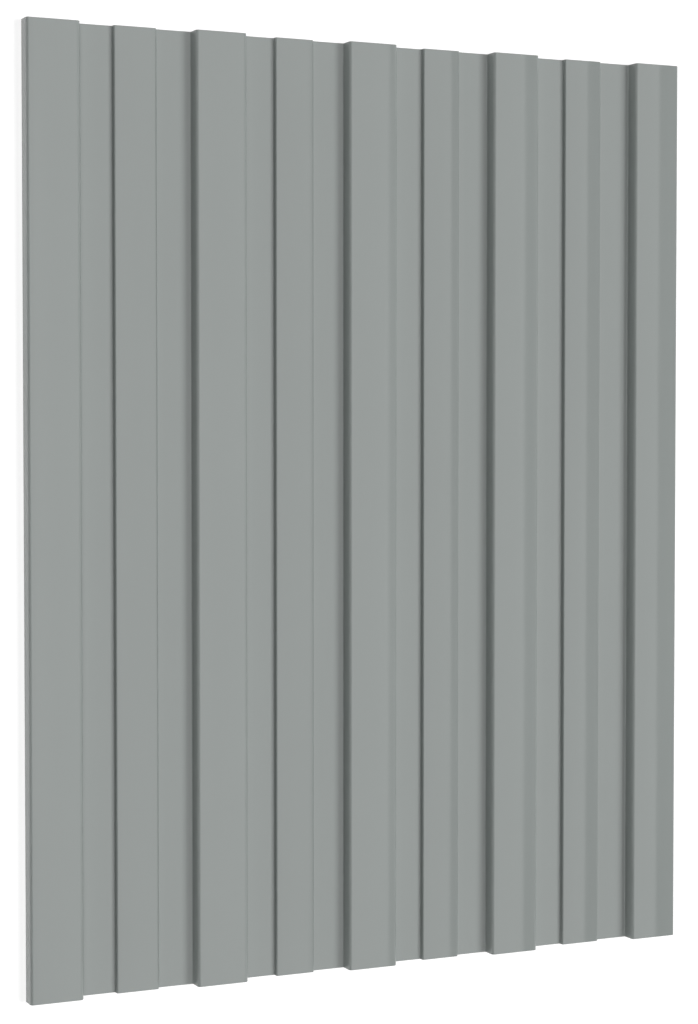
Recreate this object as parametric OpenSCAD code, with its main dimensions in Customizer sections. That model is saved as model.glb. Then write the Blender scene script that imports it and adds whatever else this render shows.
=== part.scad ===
// Profiled steel sheet with tall ribs, a small rib in each bay between them, and flat pans.
// The sheet lies on its pans, ribs up. X runs across the ribs, Y along them, Z up.

/* [Sheet] */
// Length of the sheet along its ribs
sheet_length = 600; // [200:10:2400]
// Thickness of the coated steel
sheet_thickness = 0.5; // [0.3:0.05:1.2]

/* [Tall ribs] */
// Number of tall ribs, counting the one along each side edge
tall_rib_count = 5; // [2:1:9]
// Height of a tall rib's top above the pans
tall_rib_height = 8.3; // [6:0.1:14]
// Width of a tall rib's top, between the lines where its outer faces would meet
tall_rib_top = 32.4; // [24:0.1:40]

/* [Small ribs] */
// Height of a small rib's top above the pans
small_rib_height = 3.1; // [2.6:0.1:5]
// Width of a small rib's top in an inner bay
inner_small_rib_top = 25.2; // [16:0.1:32]
// Width of a small rib's top in a bay at the side of the sheet
side_small_rib_top = 26.6; // [16:0.1:34]
// How far each small rib lies left of the middle of its bay
small_rib_offset = 1.1; // [0:0.1:4]

/* [Bays] */
// Distance between the centre lines of the tall ribs of an inner bay
inner_bay_pitch = 101.6; // [90:0.1:130]
// Distance between the centre lines of the tall ribs of a bay at the side of the sheet
side_bay_pitch = 105.8; // [94:0.1:130]

/* [Folds] */
// Angle between a flank and the plane of the pans
flank_angle = 80; // [65:1:86]
// Radius of the folds along the tall ribs' tops, on their inner face
crest_radius = 1.8; // [0.6:0.1:3]
// Radius of all other folds, on their inner face
fold_radius = 0.8; // [0.4:0.1:1.2]

/* [Hidden] */
$fn = 64;

// How far a cutting shape runs past the faces that it cuts
cut_overrun = 1;

bay_count = tall_rib_count - 1;

// Radius of a fold along the middle of the steel, from the one on its inner face
function middle_radius(inner_radius) = inner_radius + sheet_thickness / 2;

// How much narrower a rib's top is along the middle of the steel than on its outer face
top_width_loss = sheet_thickness * tan(flank_angle / 2);

// How far the middle of a side edge lies below the middle of a pan, when their lowest faces are level
edge_drop = sheet_thickness * (1 - cos(flank_angle)) / 2;

// Bays: the first and the last are side bays, and all others are inner bays
function is_side_bay(bay) = bay == 0 || bay == bay_count - 1;
function bay_pitch(bay) = is_side_bay(bay) ? side_bay_pitch : inner_bay_pitch;
function small_rib_top(bay) = is_side_bay(bay) ? side_small_rib_top : inner_small_rib_top;

// Centre lines of the ribs, with the sheet's own centre line at zero
function pitch_sum(rib) = rib == 0 ? 0 : pitch_sum(rib - 1) + bay_pitch(rib - 1);
function tall_rib_x(rib) = pitch_sum(rib) - pitch_sum(bay_count) / 2;
function small_rib_x(bay) = (tall_rib_x(bay) + tall_rib_x(bay + 1)) / 2 - small_rib_offset;

// Fold points of one rib along the middle of the steel, from its left foot to its right one.
// Each holds its place across the sheet, its level and the inner radius of its fold.
function flank_run(height) = height / tan(flank_angle);
function rib_points(x, top, height, top_radius, left_drop = 0, right_drop = 0) =
    let (half_top = (top - top_width_loss) / 2)
    [
        [x - half_top - flank_run(height + left_drop), -left_drop, fold_radius],
        [x - half_top, height, top_radius],
        [x + half_top, height, top_radius],
        [x + half_top + flank_run(height + right_drop), -right_drop, fold_radius]
    ];
function tall_rib_points(rib) =
    rib_points(
        tall_rib_x(rib),
        tall_rib_top,
        tall_rib_height,
        crest_radius,
        rib == 0 ? edge_drop : 0,
        rib == bay_count ? edge_drop : 0
    );
function small_rib_points(bay) =
    rib_points(small_rib_x(bay), small_rib_top(bay), small_rib_height, fold_radius);

// All fold points from the left edge of the sheet to the right one
sheet_points = [
    for (rib = [0 : bay_count])
        each concat(tall_rib_points(rib), rib < bay_count ? small_rib_points(rib) : [])
];
last_point = len(sheet_points) - 1;

function place(point) = [sheet_points[point][0], sheet_points[point][1]];
function bend_radius(point) = sheet_points[point][2];

// The stretch from a fold point to the next one, and the straight part that its two folds leave of it
function stretch(point) = place(point + 1) - place(point);
function stretch_heading(point) = atan2(stretch(point).y, stretch(point).x);
function setback(point) =
    point == 0 || point == last_point ? 0 : middle_radius(bend_radius(point)) * tan(flank_angle / 2);
function straight_length(point) = norm(stretch(point)) - setback(point) - setback(point + 1);

// Sector of a ring about the fold's centre, from the Y axis to that axis turned with the fold
module fold_sector(turn, inner_radius) {
    outer_radius = inner_radius + sheet_thickness;
    reach = outer_radius + cut_overrun;
    intersection() {
        difference() {
            circle(outer_radius);
            circle(inner_radius);
        }
        translate([0, -reach])
            square([reach, 2 * reach]);
        rotate(turn)
            translate([-reach, -reach])
                square([reach, 2 * reach]);
    }
}

// One fold, starting at the origin along X, with what follows it on the strip
module fold(turn, inner_radius) {
    centre = [0, sign(turn) * middle_radius(inner_radius)];
    translate(centre) {
        fold_sector(turn, inner_radius);
        rotate(turn)
            translate(-centre)
                children();
    }
}

// Strip from a fold point to the right edge of the sheet, starting at the origin along X
module strip_from(point) {
    straight = straight_length(point);
    translate([0, -sheet_thickness / 2])
        square([straight, sheet_thickness]);
    if (point + 1 < last_point)
        translate([straight, 0])
            fold(stretch_heading(point + 1) - stretch_heading(point), bend_radius(point + 1))
                strip_from(point + 1);
}

// Section across the ribs, one strip of constant thickness walked from the left edge
module section() {
    translate(place(0))
        rotate(stretch_heading(0))
            strip_from(0);
}

// Whole sheet, rolled from one piece
module profiled_sheet() {
    color([0.61, 0.62, 0.60])
        translate([0, sheet_length / 2, sheet_thickness / 2])
            rotate([90, 0, 0])
                linear_extrude(sheet_length)
                    section();
}

profiled_sheet();
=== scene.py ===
import math

import bpy
from mathutils import Matrix, Vector


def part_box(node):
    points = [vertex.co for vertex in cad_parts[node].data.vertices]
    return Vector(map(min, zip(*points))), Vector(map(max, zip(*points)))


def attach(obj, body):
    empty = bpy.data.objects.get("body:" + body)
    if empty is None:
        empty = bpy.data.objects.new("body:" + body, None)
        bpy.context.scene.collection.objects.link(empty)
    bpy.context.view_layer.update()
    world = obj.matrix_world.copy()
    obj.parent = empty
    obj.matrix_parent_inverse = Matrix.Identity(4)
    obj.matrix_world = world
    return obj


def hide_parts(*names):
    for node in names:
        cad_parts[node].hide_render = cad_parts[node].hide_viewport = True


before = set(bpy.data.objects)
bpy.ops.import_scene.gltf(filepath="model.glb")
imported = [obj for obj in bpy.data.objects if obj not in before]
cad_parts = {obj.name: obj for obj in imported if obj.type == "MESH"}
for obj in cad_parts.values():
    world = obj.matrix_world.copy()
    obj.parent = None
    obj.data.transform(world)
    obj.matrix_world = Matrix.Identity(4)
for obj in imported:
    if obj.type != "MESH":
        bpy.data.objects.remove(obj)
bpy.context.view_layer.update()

bl_info = {
    "name": "Profiled Steel Sheet",
    "version": (1, 0, 0),
    "blender": (4, 5, 0),
    "location": "View3D > Sidebar > Profiled Sheet",
    "description": "Rolls a coated steel sheet with tall and small ribs, and sets up its studio stage",
    "category": "Add Mesh",
}

SHEET_NODE = "profiled_sheet"
SHEET_PIECE = "rolled_sheet"

# The sheet's own box in the frame gives its length and its full height
SHEET_LOW, SHEET_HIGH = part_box(SHEET_NODE)

# The usual gauge of such a sheet
STEEL_THICKNESS = 0.0005

# A rib has four fold points, counted from its left foot. Its middle falls between the edges of its top,
# which lie nearer to the middle than one step.
POINTS_PER_RIB = 4
MIDDLE_POINT = (POINTS_PER_RIB - 1) / 2
ONE_STEP = 1.0

# Numbers of ribs and points that differ by less than half a step are the same
HALF_STEP = 0.5

# On each side of the sheet's middle, the last half bays are those of the side bay
HALF_BAYS_IN_SIDE_BAY = 2

# Points nearer than this are one point, and faces that meet at more than this angle have a crisp corner
MERGE_DISTANCE = 0.000001
CORNER_ANGLE = math.radians(40)

# Names of the values that the section's rule leaves on the mesh for the coat
ACROSS = "across"
RAISED = "raised"
REACH = "reach"
CUT_EDGE = "cut_edge"

# Scale, detail and roughness of the noises that vary the coat, and how strongly it bends light
TONE_NOISE = (9.0, 6.0, 0.7)
GLOSS_NOISE = (60.0, 4.0, 0.6)
PEEL_NOISE = (900.0, 2.0, 0.5)
COAT_IOR = 1.5

# How far the floor lies below the sheet, and how many rays feel for a cover over it, under which the floor's
# glow gives way to painted shade
FLOOR_DROP = 0.0002
COVER_RAYS = 16

# Colour and strength of a backdrop that the camera sees as white
WHITE = (1.0, 1.0, 1.0)
WHITE_STRENGTH = 1.0

# Height of the photograph's frame, in pixels
PHOTO_HEIGHT = 1024

# Ending of a Mix node's socket identifiers for each kind of value that it mixes
MIXED_KINDS = {"FLOAT": "Float", "RGBA": "Color"}


class SheetSizes(bpy.types.PropertyGroup):
    """Sizes of the sheet and of its folded section"""

    length: bpy.props.FloatProperty(
        name="Length", description="Length of the sheet along its ribs",
        default=SHEET_HIGH.y - SHEET_LOW.y, unit="LENGTH")
    thickness: bpy.props.FloatProperty(
        name="Thickness", description="Thickness of the coated steel",
        default=STEEL_THICKNESS, unit="LENGTH")
    tall_rib_count: bpy.props.IntProperty(
        name="Tall Ribs", description="Number of tall ribs, counting the one along each side edge",
        default=5, min=2)
    tall_rib_height: bpy.props.FloatProperty(
        name="Tall Rib Height", description="Height of a tall rib's top above the pans",
        default=SHEET_HIGH.z - SHEET_LOW.z - STEEL_THICKNESS, unit="LENGTH")
    tall_rib_top: bpy.props.FloatProperty(
        name="Tall Rib Top", description="Width of a tall rib's top between its outer fold lines",
        default=0.0324, unit="LENGTH")
    small_rib_height: bpy.props.FloatProperty(
        name="Small Rib Height", description="Height of a small rib's top above the pans",
        default=0.0031, unit="LENGTH")
    inner_small_rib_top: bpy.props.FloatProperty(
        name="Inner Small Rib Top", description="Width of a small rib's top in an inner bay",
        default=0.0252, unit="LENGTH")
    side_small_rib_top: bpy.props.FloatProperty(
        name="Side Small Rib Top", description="Width of a small rib's top in a bay at the side",
        default=0.0266, unit="LENGTH")
    small_rib_offset: bpy.props.FloatProperty(
        name="Small Rib Offset", description="How far a small rib lies left of its bay's middle",
        default=0.0011, unit="LENGTH")
    inner_bay_pitch: bpy.props.FloatProperty(
        name="Inner Bay Pitch", description="Distance between the tall ribs of an inner bay",
        default=0.1016, unit="LENGTH")
    side_bay_pitch: bpy.props.FloatProperty(
        name="Side Bay Pitch", description="Distance between the tall ribs of a bay at the side",
        default=0.1058, unit="LENGTH")
    flank_angle: bpy.props.FloatProperty(
        name="Flank Angle", description="Angle between a flank and the plane of the pans",
        default=math.radians(80), subtype="ANGLE")
    crest_radius: bpy.props.FloatProperty(
        name="Crest Radius", description="Inner radius of the folds along the tall ribs' tops",
        default=0.0018, unit="LENGTH")
    fold_radius: bpy.props.FloatProperty(
        name="Fold Radius", description="Inner radius of all other folds",
        default=0.0008, unit="LENGTH")
    fold_steps: bpy.props.IntProperty(
        name="Fold Steps", description="Number of faces round each fold", default=16, min=2)
    length_steps: bpy.props.IntProperty(
        name="Length Steps", description="Number of faces along the sheet", default=12, min=1)


class CoatFinish(bpy.types.PropertyGroup):
    """Colour and finish of the coat and of the bare cut edges"""

    coat_colour: bpy.props.FloatVectorProperty(
        name="Coat", description="Colour of the baked coat",
        default=(0.268, 0.291, 0.282), size=3, subtype="COLOR", min=0, max=1)
    steel_colour: bpy.props.FloatVectorProperty(
        name="Cut Steel", description="Colour of the bare steel on the cut edges",
        default=(0.42, 0.42, 0.41), size=3, subtype="COLOR", min=0, max=1)
    tone_change: bpy.props.FloatProperty(
        name="Tone Change", description="How far the coat's tone drifts to each side, as a share",
        default=0.03, subtype="FACTOR", min=0, max=1)
    smoothest: bpy.props.FloatProperty(
        name="Smoothest", description="Roughness of the coat where it is smoothest",
        default=0.08, subtype="FACTOR", min=0, max=1)
    roughest: bpy.props.FloatProperty(
        name="Roughest", description="Roughness of the coat where it is roughest",
        default=0.12, subtype="FACTOR", min=0, max=1)
    peel_height: bpy.props.FloatProperty(
        name="Peel Height", description="Height of the coat's fine orange-peel relief",
        default=0.000004, unit="LENGTH")
    crown_slope: bpy.props.FloatProperty(
        name="Crown Slope", description="Lean of a crowned top's relief at its folds",
        default=math.radians(5.1), subtype="ANGLE")


class StageSettings(bpy.types.PropertyGroup):
    """Floor, lamps and the photograph's viewpoint"""

    floor_colour: bpy.props.FloatVectorProperty(
        name="Floor", description="Colour of the pale floor",
        default=(0.5, 0.5, 0.5), size=3, subtype="COLOR", min=0, max=1)
    floor_lift: bpy.props.FloatProperty(
        name="Floor Lift", description="Light that brings the floor to white where the camera sees it",
        default=0.66)
    # Where the sheet covers the floor, the floor's glow to white fades out: painted shade in the hollows
    # under the ribs
    painted_shade_depth: bpy.props.FloatProperty(
        name="Hollow Depth", description="How near a cover has to be to keep the lift off the floor",
        default=0.03, unit="LENGTH")
    painted_shade_full: bpy.props.FloatProperty(
        name="Hollow Dark", description="Open share of the sky at which the floor has no lift",
        default=0.08, subtype="FACTOR", min=0, max=1)
    painted_shade_none: bpy.props.FloatProperty(
        name="Hollow Open", description="Open share of the sky at which the floor has its whole lift",
        default=0.5, subtype="FACTOR", min=0, max=1)
    floor_half: bpy.props.FloatProperty(
        name="Floor Half", description="Half the side of the square floor",
        default=2.5, unit="LENGTH")
    floor_sheen: bpy.props.FloatProperty(
        name="Floor Sheen", description="Light that brings the floor to white in the coat's reflections",
        default=0.9)
    room_light: bpy.props.FloatProperty(
        name="Room Light", description="Even light from all round",
        default=0.03)
    wall_light: bpy.props.FloatProperty(
        name="Wall Light", description="Light from the white walls at the foot of the room",
        default=4.2)
    wall_height: bpy.props.FloatProperty(
        name="Wall Height", description="Sine of the angle that the walls' light reaches up to",
        default=0.18, subtype="FACTOR", min=0, max=1)
    room_sheen: bpy.props.FloatProperty(
        name="Room Sheen", description="Brightness of the room's right side in the coat's reflections",
        default=0.35)
    shade_sheen: bpy.props.FloatProperty(
        name="Shade Sheen", description="Brightness of the room's left side in the coat's reflections",
        default=0.2)
    card_sheen: bpy.props.FloatProperty(
        name="Card Sheen", description="Brightness of the overhead card in the coat's reflections",
        default=2.11)
    card_edge_sheen: bpy.props.FloatProperty(
        name="Card Edge Sheen", description="Brightness of the card at its crisp right edge",
        default=1.8)
    card_left: bpy.props.FloatProperty(
        name="Card Left", description="Lean from straight above where the card has faded on the left",
        default=math.radians(-34), subtype="ANGLE")
    card_middle: bpy.props.FloatProperty(
        name="Card Middle", description="Lean from straight above where the card is brightest",
        default=math.radians(1), subtype="ANGLE")
    card_right: bpy.props.FloatProperty(
        name="Card Right", description="Lean from straight above of the card's crisp right edge",
        default=math.radians(31.1), subtype="ANGLE")
    card_edge: bpy.props.FloatProperty(
        name="Card Edge", description="Angle that the card's crisp edge fades over",
        default=math.radians(0.6), subtype="ANGLE")
    card_reach: bpy.props.FloatProperty(
        name="Card Reach", description="Lean along the ribs that the whole card reaches to",
        default=math.radians(24), subtype="ANGLE")
    card_end: bpy.props.FloatProperty(
        name="Card End", description="Lean along the ribs where the card has faded out",
        default=math.radians(48), subtype="ANGLE")
    lamp_distance: bpy.props.FloatProperty(
        name="Lamp Distance", description="Distance of the lamps from the sheet",
        default=12.0, unit="LENGTH")
    lamp_length: bpy.props.FloatProperty(
        name="Lamp Length", description="Length of the lamps along the ribs",
        default=5.8, unit="LENGTH")
    fill_angle: bpy.props.FloatProperty(
        name="Fill Angle", description="Lean of the fill lamp from straight above, to the right",
        default=math.radians(-11), subtype="ANGLE")
    fill_spread: bpy.props.FloatProperty(
        name="Fill Spread", description="Angle that the fill lamp spans across the ribs",
        default=math.radians(36), subtype="ANGLE")
    fill_light: bpy.props.FloatProperty(
        name="Fill Light", description="Share of the sheet's light that the fill lamp gives",
        default=0.441)
    key_angle: bpy.props.FloatProperty(
        name="Key Angle", description="Lean of the key lamp from straight above, to the right",
        default=math.radians(40), subtype="ANGLE")
    key_spread: bpy.props.FloatProperty(
        name="Key Spread", description="Angle that the key lamp spans across the ribs",
        default=math.radians(21), subtype="ANGLE")
    key_light: bpy.props.FloatProperty(
        name="Key Light", description="Share of the sheet's light that the key lamp gives",
        default=0.49)
    camera_place: bpy.props.FloatVectorProperty(
        name="Camera", description="Where the camera stands",
        default=(-0.4226, 0.0566, 1.113), size=3, subtype="TRANSLATION", unit="LENGTH")
    camera_yaw: bpy.props.FloatProperty(
        name="Yaw", description="Turn of the camera about the sheet's length",
        default=math.radians(20.173), subtype="ANGLE")
    camera_pitch: bpy.props.FloatProperty(
        name="Pitch", description="Turn of the camera about the sheet's width",
        default=math.radians(1.5954), subtype="ANGLE")
    focal_pixels: bpy.props.FloatProperty(
        name="Focal Length", description="Focal length in the photograph's pixels",
        default=1826.3, subtype="PIXEL")
    axis_row: bpy.props.FloatProperty(
        name="Axis Row", description="Row of the photograph's frame where the lens axis falls",
        default=472.2, subtype="PIXEL")


class NodeBench:
    """Adds nodes to one node tree and wires them as they are added"""

    def __init__(self, tree):
        self.tree = tree

    def feed(self, socket, value):
        """Links a socket to another one, or sets its value"""
        if isinstance(value, bpy.types.NodeSocket):
            self.tree.links.new(value, socket)
        else:
            socket.default_value = value

    def put(self, kind, wires=None, **settings):
        """Adds a node with its settings, and feeds its inputs by their names"""
        node = self.tree.nodes.new(kind)
        for name, value in settings.items():
            setattr(node, name, value)
        for name, value in (wires or {}).items():
            self.feed(node.inputs[name], value)
        return node

    def math(self, operation, *values):
        """Result of one sum or test"""
        node = self.put("ShaderNodeMath", operation=operation)
        for socket, value in zip(node.inputs, values):
            self.feed(socket, value)
        return node.outputs["Value"]

    def add(self, a, b):
        return self.math("ADD", a, b)

    def subtract(self, a, b):
        return self.math("SUBTRACT", a, b)

    def multiply(self, a, b):
        return self.math("MULTIPLY", a, b)

    def divide(self, a, b):
        return self.math("DIVIDE", a, b)

    def choose(self, test, if_true, if_false):
        """One of two numbers, by a test"""
        node = self.put(
            "GeometryNodeSwitch", {"Switch": test, "True": if_true, "False": if_false}, input_type="FLOAT")
        return node.outputs["Output"]

    def blend(self, factor, first, second, data_type="FLOAT"):
        """Mix of two numbers or of two colours"""
        node = self.put("ShaderNodeMix", {"Factor": factor}, data_type=data_type)
        sockets = {socket.identifier: socket for socket in (*node.inputs, *node.outputs)}
        kind = MIXED_KINDS[data_type]
        self.feed(sockets[f"A_{kind}"], first)
        self.feed(sockets[f"B_{kind}"], second)
        return sockets[f"Result_{kind}"]

    def ramp(self, value, start, end, first, last):
        """First number up to the start, last number from the end, and an even change between them"""
        node = self.put(
            "ShaderNodeMapRange",
            {"Value": value, "From Min": start, "From Max": end, "To Min": first, "To Max": last})
        return node.outputs["Result"]

    def vector(self, x, y, z):
        return self.put("ShaderNodeCombineXYZ", {"X": x, "Y": y, "Z": z}).outputs["Vector"]

    def store(self, geometry, name, value, domain):
        """Geometry with a value left on each of its points or faces, under a name"""
        node = self.put(
            "GeometryNodeStoreNamedAttribute", {"Geometry": geometry, "Name": name, "Value": value},
            data_type="FLOAT", domain=domain)
        return node.outputs["Geometry"]


def opaque(colour, share=1.0):
    """A colour times a share, as the four numbers of a colour socket"""
    return (*(part * share for part in colour), 1.0)


def size_sockets(tree, sizes):
    """Named inputs of the tree, one for each size"""
    sockets = {}
    for name in SheetSizes.__annotations__:
        whole = isinstance(getattr(sizes, name), int)
        kind = "NodeSocketInt" if whole else "NodeSocketFloat"
        title = sizes.bl_rna.properties[name].name
        sockets[name] = tree.interface.new_socket(title, in_out="INPUT", socket_type=kind)
    return sockets


def half_fold(bench, size):
    """Tangent of half the angle that a fold turns through"""
    return bench.math("TANGENT", bench.divide(size["flank_angle"], 2))


def point_count(bench, size):
    """Number of fold points across the whole sheet"""
    rib_count = bench.subtract(bench.multiply(size["tall_rib_count"], 2), 1)
    return bench.multiply(rib_count, POINTS_PER_RIB)


def fold_points(bench, size):
    """Place of each fold point, its side of the rib, whether it is raised or on a crest, and half the top"""
    index = bench.put("GeometryNodeInputIndex").outputs["Index"]
    rib = bench.math("FLOOR", bench.divide(index, POINTS_PER_RIB))
    point = bench.math("MODULO", index, POINTS_PER_RIB)
    side = bench.choose(bench.math("GREATER_THAN", point, MIDDLE_POINT), 1.0, -1.0)
    raised = bench.math("COMPARE", point, MIDDLE_POINT, ONE_STEP)

    # Tall and small ribs take turns, and the first one is tall
    tall = bench.math("LESS_THAN", bench.math("MODULO", rib, 2), HALF_STEP)

    # Half bays between the sheet's middle and this rib: those of the inner bays come first
    bay_count = bench.subtract(size["tall_rib_count"], 1)
    inner_half_bays = bench.subtract(bay_count, HALF_BAYS_IN_SIDE_BAY)
    from_middle = bench.subtract(rib, bay_count)
    half_bays = bench.math("ABSOLUTE", from_middle)
    inner_part = bench.math("MAXIMUM", bench.math("MINIMUM", half_bays, inner_half_bays), 0.0)
    side_part = bench.subtract(half_bays, inner_part)
    inner_reach = bench.multiply(inner_part, bench.divide(size["inner_bay_pitch"], 2))
    side_reach = bench.multiply(side_part, bench.divide(size["side_bay_pitch"], 2))
    bay_middle = bench.multiply(bench.math("SIGN", from_middle), bench.add(inner_reach, side_reach))
    centre = bench.subtract(bay_middle, bench.choose(tall, 0.0, size["small_rib_offset"]))

    # Top and height of the rib, along the middle of the steel
    small_top = bench.choose(
        bench.math("GREATER_THAN", half_bays, inner_half_bays),
        size["side_small_rib_top"], size["inner_small_rib_top"])
    top = bench.choose(tall, size["tall_rib_top"], small_top)
    height = bench.choose(tall, size["tall_rib_height"], size["small_rib_height"])
    top_loss = bench.multiply(size["thickness"], half_fold(bench, size))
    half_top = bench.divide(bench.subtract(top, top_loss), 2)

    # The side edges hang down until their lowest corners are level with the pans' underside
    last_index = bench.subtract(point_count(bench, size), 1)
    at_left_edge = bench.math("COMPARE", index, 0.0, HALF_STEP)
    at_right_edge = bench.math("COMPARE", index, last_index, HALF_STEP)
    lean_loss = bench.subtract(1.0, bench.math("COSINE", size["flank_angle"]))
    edge_drop = bench.divide(bench.multiply(size["thickness"], lean_loss), 2)
    drop = bench.multiply(bench.add(at_left_edge, at_right_edge), edge_drop)
    run = bench.divide(bench.add(height, drop), bench.math("TANGENT", size["flank_angle"]))

    out = bench.add(half_top, bench.choose(raised, 0.0, run))
    across = bench.add(centre, bench.multiply(side, out))
    level = bench.choose(raised, height, bench.multiply(drop, -1.0))
    lift = bench.divide(size["thickness"], 2)
    place = bench.vector(across, 0.0, bench.add(level, lift))
    return place, side, raised, bench.multiply(raised, tall), half_top


def section_curve(bench, size):
    """The section's middle line, with a round fold at each of its points"""
    line = bench.put("GeometryNodeCurvePrimitiveLine").outputs["Curve"]
    points = bench.put(
        "GeometryNodeResampleCurve", {"Curve": line, "Count": point_count(bench, size)}, mode="COUNT")
    place, side, raised, crest, half_top = fold_points(bench, size)
    placed = bench.put(
        "GeometryNodeSetPosition", {"Geometry": points.outputs["Curve"], "Position": place})
    inner_radius = bench.choose(crest, size["crest_radius"], size["fold_radius"])
    middle_radius = bench.add(inner_radius, bench.divide(size["thickness"], 2))
    setback = bench.multiply(middle_radius, half_fold(bench, size))
    marked = bench.store(placed.outputs["Geometry"], ACROSS, side, "POINT")
    marked = bench.store(marked, RAISED, raised, "POINT")
    marked = bench.store(marked, REACH, bench.subtract(half_top, setback), "POINT")
    folded = bench.put(
        "GeometryNodeFilletCurve",
        {"Curve": marked, "Count": size["fold_steps"], "Radius": middle_radius}, mode="POLY")
    return folded.outputs["Curve"]


def rolled_skin(bench, size, section):
    """The section carried along the sheet's length, as a skin without thickness"""
    half = bench.divide(size["length"], 2)
    start = bench.vector(bench.multiply(half, -1.0), 0.0, 0.0)
    end = bench.vector(half, 0.0, 0.0)
    rail = bench.put("GeometryNodeCurvePrimitiveLine", {"Start": start, "End": end})
    stops = bench.put(
        "GeometryNodeResampleCurve",
        {"Curve": rail.outputs["Curve"], "Count": bench.add(size["length_steps"], 1)}, mode="COUNT")
    upright = bench.put("GeometryNodeSetCurveNormal", {"Curve": section}, mode="Z_UP")
    skin = bench.put(
        "GeometryNodeCurveToMesh",
        {"Curve": upright.outputs["Curve"], "Profile Curve": stops.outputs["Curve"]})
    return skin.outputs["Mesh"]


def thickened(bench, size, skin):
    """A closed sheet: the skin is pushed to the underside, raised by the thickness and closed"""
    normal = bench.put("GeometryNodeInputNormal").outputs["Normal"]
    half_down = bench.divide(size["thickness"], -2)
    push = bench.put("ShaderNodeVectorMath", {"Vector": normal, "Scale": half_down}, operation="SCALE")
    under = bench.put(
        "GeometryNodeSetPosition", {"Geometry": skin, "Offset": push.outputs["Vector"]})
    raised = bench.put(
        "GeometryNodeExtrudeMesh",
        {"Mesh": under.outputs["Geometry"], "Offset Scale": size["thickness"], "Individual": False},
        mode="FACES")
    sides = bench.store(raised.outputs["Mesh"], CUT_EDGE, raised.outputs["Side"], "FACE")
    back = bench.put("GeometryNodeFlipFaces", {"Mesh": under.outputs["Geometry"]})
    whole = bench.put("GeometryNodeJoinGeometry")
    for part in (sides, back.outputs["Mesh"]):
        bench.feed(whole.inputs["Geometry"], part)
    closed = bench.put(
        "GeometryNodeMergeByDistance",
        {"Geometry": whole.outputs["Geometry"], "Distance": MERGE_DISTANCE})
    return closed.outputs["Geometry"]


def shaded(bench, solid):
    """Smooth folds, with crisp corners along the cut edges"""
    angle = bench.put("GeometryNodeInputMeshEdgeAngle").outputs["Unsigned Angle"]
    corner = bench.math("GREATER_THAN", angle, CORNER_ANGLE)
    smooth = bench.put(
        "GeometryNodeSetShadeSmooth", {"Geometry": solid, "Shade Smooth": True}, domain="FACE")
    crisp = bench.put(
        "GeometryNodeSetShadeSmooth",
        {"Geometry": smooth.outputs["Geometry"], "Selection": corner, "Shade Smooth": False},
        domain="EDGE")
    return crisp.outputs["Geometry"]


def sheet_tree(sizes, coat):
    """Node tree that rolls the whole sheet from its sizes, and the sockets of its inputs"""
    tree = bpy.data.node_groups.new("Rolled Sheet", "GeometryNodeTree")
    sockets = size_sockets(tree, sizes)
    tree.interface.new_socket("Sheet", in_out="OUTPUT", socket_type="NodeSocketGeometry")
    bench = NodeBench(tree)
    entry = bench.put("NodeGroupInput")
    size = {name: entry.outputs[socket.name] for name, socket in sockets.items()}
    skin = rolled_skin(bench, size, section_curve(bench, size))
    solid = shaded(bench, thickened(bench, size, skin))
    real = bench.put("GeometryNodeRealizeInstances", {"Geometry": solid})
    coated = bench.put(
        "GeometryNodeSetMaterial", {"Geometry": real.outputs["Geometry"], "Material": coat})
    bench.put("NodeGroupOutput", {"Sheet": coated.outputs["Geometry"]})
    return tree, sockets


def plain_mesh(maker, coat):
    """The evaluated mesh of an object, with the coat as its one material"""
    bpy.context.view_layer.update()
    seen = maker.evaluated_get(bpy.context.evaluated_depsgraph_get())
    mesh = bpy.data.meshes.new_from_object(seen)
    mesh.materials.clear()
    mesh.materials.append(coat)
    return mesh


def discard(maker):
    """Takes an object's modifiers off and removes it with its own mesh"""
    maker.modifiers.clear()
    bpy.data.meshes.remove(maker.data)


def coat_material(finish):
    """Baked satin coat on steel: drifting tone, orange peel, crowned tops and bare cut edges"""
    material = bpy.data.materials.new("baked_coat_on_steel")
    material.use_nodes = True
    material.node_tree.nodes.clear()
    bench = NodeBench(material.node_tree)
    place = bench.put("ShaderNodeTexCoord").outputs["Object"]

    def noise(scale, detail, roughness):
        node = bench.put(
            "ShaderNodeTexNoise",
            {"Vector": place, "Scale": scale, "Detail": detail, "Roughness": roughness})
        return node.outputs["Fac"]

    def attribute(name):
        return bench.put("ShaderNodeAttribute", attribute_name=name).outputs["Fac"]

    dark = opaque(finish.coat_colour, 1 - finish.tone_change)
    light = opaque(finish.coat_colour, 1 + finish.tone_change)
    coat = bench.blend(noise(*TONE_NOISE), dark, light, "RGBA")
    cut = attribute(CUT_EDGE)
    colour = bench.blend(cut, coat, opaque(finish.steel_colour), "RGBA")
    roughness = bench.ramp(noise(*GLOSS_NOISE), 0.0, 1.0, finish.smoothest, finish.roughest)

    # A rib's top is crowned: its relief is highest along its middle and runs out at both folds
    across = attribute(ACROSS)
    bow = bench.multiply(bench.subtract(1.0, bench.multiply(across, across)), attribute(RAISED))
    crown = bench.multiply(bench.multiply(bow, attribute(REACH)), math.tan(finish.crown_slope) / 2)
    peel = bench.multiply(noise(*PEEL_NOISE), finish.peel_height)

    # Heights are in metres, so the bump takes them as they are
    relief = bench.put(
        "ShaderNodeBump", {"Height": bench.add(crown, peel), "Strength": 1.0, "Distance": 1.0})
    shader = bench.put(
        "ShaderNodeBsdfPrincipled",
        {"Base Color": colour, "Metallic": cut, "Roughness": roughness, "IOR": COAT_IOR,
         "Normal": relief.outputs["Normal"]})
    bench.put("ShaderNodeOutputMaterial", {"Surface": shader.outputs["BSDF"]})
    return material


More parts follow.
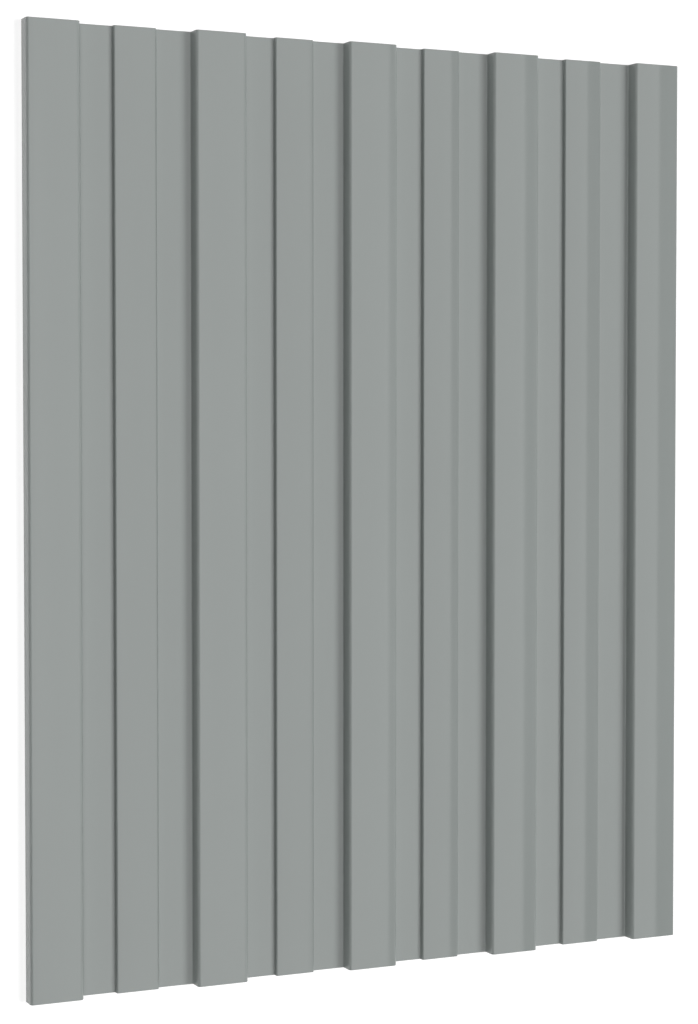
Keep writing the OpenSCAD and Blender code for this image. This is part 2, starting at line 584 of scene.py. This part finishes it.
def floor_material(stage):
    """Pale floor that keeps the sheet's shadow and reads as white where it is lit, with painted shade where
    the sheet covers it
    """
    material = bpy.data.materials.new("pale_floor")
    material.use_nodes = True
    material.node_tree.nodes.clear()
    bench = NodeBench(material.node_tree)
    path = bench.put("ShaderNodeLightPath")
    # The glow to white fades out where the sheet covers the floor, as painted shade in the hollows under the
    # ribs
    sheet_cover = bench.put("ShaderNodeAmbientOcclusion", {"Distance": stage.painted_shade_depth}, samples=COVER_RAYS)
    lift_with_painted_shade = bench.ramp(sheet_cover.outputs["AO"], stage.painted_shade_full, stage.painted_shade_none, 0.0, stage.floor_lift)
    lift = bench.multiply(path.outputs["Is Camera Ray"], lift_with_painted_shade)
    sheen = bench.multiply(path.outputs["Is Glossy Ray"], stage.floor_sheen)
    matt = bench.put("ShaderNodeBsdfDiffuse", {"Color": opaque(stage.floor_colour)})
    glow = bench.put("ShaderNodeEmission", {"Strength": bench.add(lift, sheen)})
    both = bench.put("ShaderNodeAddShader")
    for socket, part in zip(both.inputs, (matt.outputs["BSDF"], glow.outputs["Emission"])):
        bench.feed(socket, part)
    bench.put("ShaderNodeOutputMaterial", {"Surface": both.outputs["Shader"]})
    return material


def light_room(stage):
    """Low white walls, a white backdrop and an overhead card that shows only in the coat's reflections"""
    world = bpy.data.worlds.new("studio_room")
    world.use_nodes = True
    world.node_tree.nodes.clear()
    bench = NodeBench(world.node_tree)
    path = bench.put("ShaderNodeLightPath")
    aim = bench.put("ShaderNodeTexCoord").outputs["Generated"]
    parts = bench.put("ShaderNodeSeparateXYZ", {"Vector": aim}).outputs
    walls = bench.ramp(parts["Z"], 0.0, stage.wall_height, stage.wall_light, stage.room_light)

    # Across the ribs, the card fades out to the left of its middle and ends in a crisp edge on the right
    lean = bench.math("ARCTAN2", parts["X"], parts["Z"])
    right_part = bench.ramp(
        lean, stage.card_middle, stage.card_right, stage.card_sheen, stage.card_edge_sheen)
    card = bench.ramp(lean, stage.card_left, stage.card_middle, stage.shade_sheen, right_part)
    edge_end = stage.card_right + stage.card_edge
    across = bench.ramp(lean, stage.card_right, edge_end, card, stage.room_sheen)

    # Along the ribs, it fades out at both of its ends
    tilt = bench.math("ABSOLUTE", bench.math("ARCTAN2", parts["Y"], parts["Z"]))
    sheen = bench.ramp(tilt, stage.card_reach, stage.card_end, across, stage.room_sheen)

    backdrop = bench.blend(path.outputs["Is Camera Ray"], walls, WHITE_STRENGTH)
    strength = bench.blend(path.outputs["Is Glossy Ray"], backdrop, sheen)
    room = bench.put("ShaderNodeBackground", {"Color": opaque(WHITE), "Strength": strength})
    bench.put("ShaderNodeOutputWorld", {"Surface": room.outputs["Background"]})
    bpy.context.scene.world = world


def lamp(name, stage, angle, spread, share):
    """Soft lamp at an angle over the sheet that gives a share of its light and isn't mirrored"""
    width = 2 * stage.lamp_distance * math.tan(spread / 2)
    solid_angle = width * stage.lamp_length / stage.lamp_distance ** 2

    # So bright that a level white surface in this light alone has the share as its brightness
    brightness = share * math.pi / (solid_angle * math.cos(angle))
    panel = bpy.data.lights.new(name, "AREA")
    panel.shape = "RECTANGLE"
    panel.size = width
    panel.size_y = stage.lamp_length
    panel.energy = brightness * math.pi * width * stage.lamp_length
    holder = bpy.data.objects.new(name, panel)
    holder.location = Vector((math.sin(angle), 0.0, math.cos(angle))) * stage.lamp_distance
    holder.rotation_euler.y = angle
    holder.visible_camera = False
    holder.visible_glossy = False
    bpy.context.scene.collection.objects.link(holder)


def photo_camera(stage):
    """Camera at the photograph's viewing angle, with its lens and framing"""
    lens = bpy.data.cameras.new("photo_camera")
    lens.sensor_fit = "VERTICAL"
    lens.lens = stage.focal_pixels * lens.sensor_height / PHOTO_HEIGHT
    lens.shift_y = (stage.axis_row - PHOTO_HEIGHT / 2) / PHOTO_HEIGHT
    turn = Matrix.Rotation(stage.camera_pitch, 3, "X") @ Matrix.Rotation(stage.camera_yaw, 3, "Y")
    holder = bpy.data.objects.new("photo_camera", lens)
    holder.matrix_world = Matrix.Translation(stage.camera_place) @ turn.transposed().to_4x4()
    bpy.context.scene.collection.objects.link(holder)
    bpy.context.scene.camera = holder


class MakeSheet(bpy.types.Operator):
    """Roll the sheet from its sizes and give it its coat"""

    bl_idname = "profiled_sheet.make_sheet"
    bl_label = "Make Sheet"

    def execute(self, context):
        sizes = context.scene.sheet_sizes
        coat = coat_material(context.scene.coat_finish)
        tree, sockets = sheet_tree(sizes, coat)
        maker = bpy.data.objects.new("sheet_maker", bpy.data.meshes.new("sheet_maker"))
        context.scene.collection.objects.link(maker)
        modifier = maker.modifiers.new("Rolled Sheet", "NODES")
        modifier.node_group = tree
        for name, socket in sockets.items():
            modifier[socket.identifier] = getattr(sizes, name)
        mesh = plain_mesh(maker, coat)
        discard(maker)
        if not mesh.polygons:
            raise RuntimeError("the sheet came out empty")
        mesh.name = SHEET_PIECE
        sheet = bpy.data.objects.new(SHEET_PIECE, mesh)
        context.scene.collection.objects.link(sheet)
        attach(sheet, "root")
        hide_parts(SHEET_NODE)
        return {"FINISHED"}


class MakeStage(bpy.types.Operator):
    """Lay the floor and set up the lamps, the room light and the camera"""

    bl_idname = "profiled_sheet.make_stage"
    bl_label = "Make Stage"

    def execute(self, context):
        stage = context.scene.stage_settings
        half = stage.floor_half
        level = -FLOOR_DROP
        corners = [(-half, -half, level), (half, -half, level), (half, half, level), (-half, half, level)]
        mesh = bpy.data.meshes.new("floor")
        mesh.from_pydata(corners, [], [(0, 1, 2, 3)])
        mesh.materials.append(floor_material(stage))
        floor = bpy.data.objects.new("floor", mesh)
        context.scene.collection.objects.link(floor)
        light_room(stage)
        lamp("fill_lamp", stage, stage.fill_angle, stage.fill_spread, stage.fill_light)
        lamp("key_lamp", stage, stage.key_angle, stage.key_spread, stage.key_light)
        photo_camera(stage)
        context.scene.view_settings.view_transform = "Standard"
        return {"FINISHED"}


class SheetPanel(bpy.types.Panel):
    """Sizes, finish and steps of the sheet"""

    bl_idname = "VIEW3D_PT_profiled_sheet"
    bl_label = "Profiled Sheet"
    bl_space_type = "VIEW_3D"
    bl_region_type = "UI"
    bl_category = "Profiled Sheet"

    def draw(self, context):
        scene = context.scene
        for group in (scene.sheet_sizes, scene.coat_finish, scene.stage_settings):
            box = self.layout.box()
            for name in group.__annotations__:
                box.prop(group, name)
        for step in STEPS:
            self.layout.operator(step.bl_idname)


STEPS = (MakeSheet, MakeStage)
CLASSES = (SheetSizes, CoatFinish, StageSettings, *STEPS, SheetPanel)


def register():
    for cls in CLASSES:
        bpy.utils.register_class(cls)
    bpy.types.Scene.sheet_sizes = bpy.props.PointerProperty(type=SheetSizes)
    bpy.types.Scene.coat_finish = bpy.props.PointerProperty(type=CoatFinish)
    bpy.types.Scene.stage_settings = bpy.props.PointerProperty(type=StageSettings)


def unregister():
    del bpy.types.Scene.stage_settings
    del bpy.types.Scene.coat_finish
    del bpy.types.Scene.sheet_sizes
    for cls in reversed(CLASSES):
        bpy.utils.unregister_class(cls)


def main():
    """Makes the sheet and its stage"""
    register()
    bpy.ops.profiled_sheet.make_sheet()
    bpy.ops.profiled_sheet.make_stage()


if __name__ == "__main__":
    main()
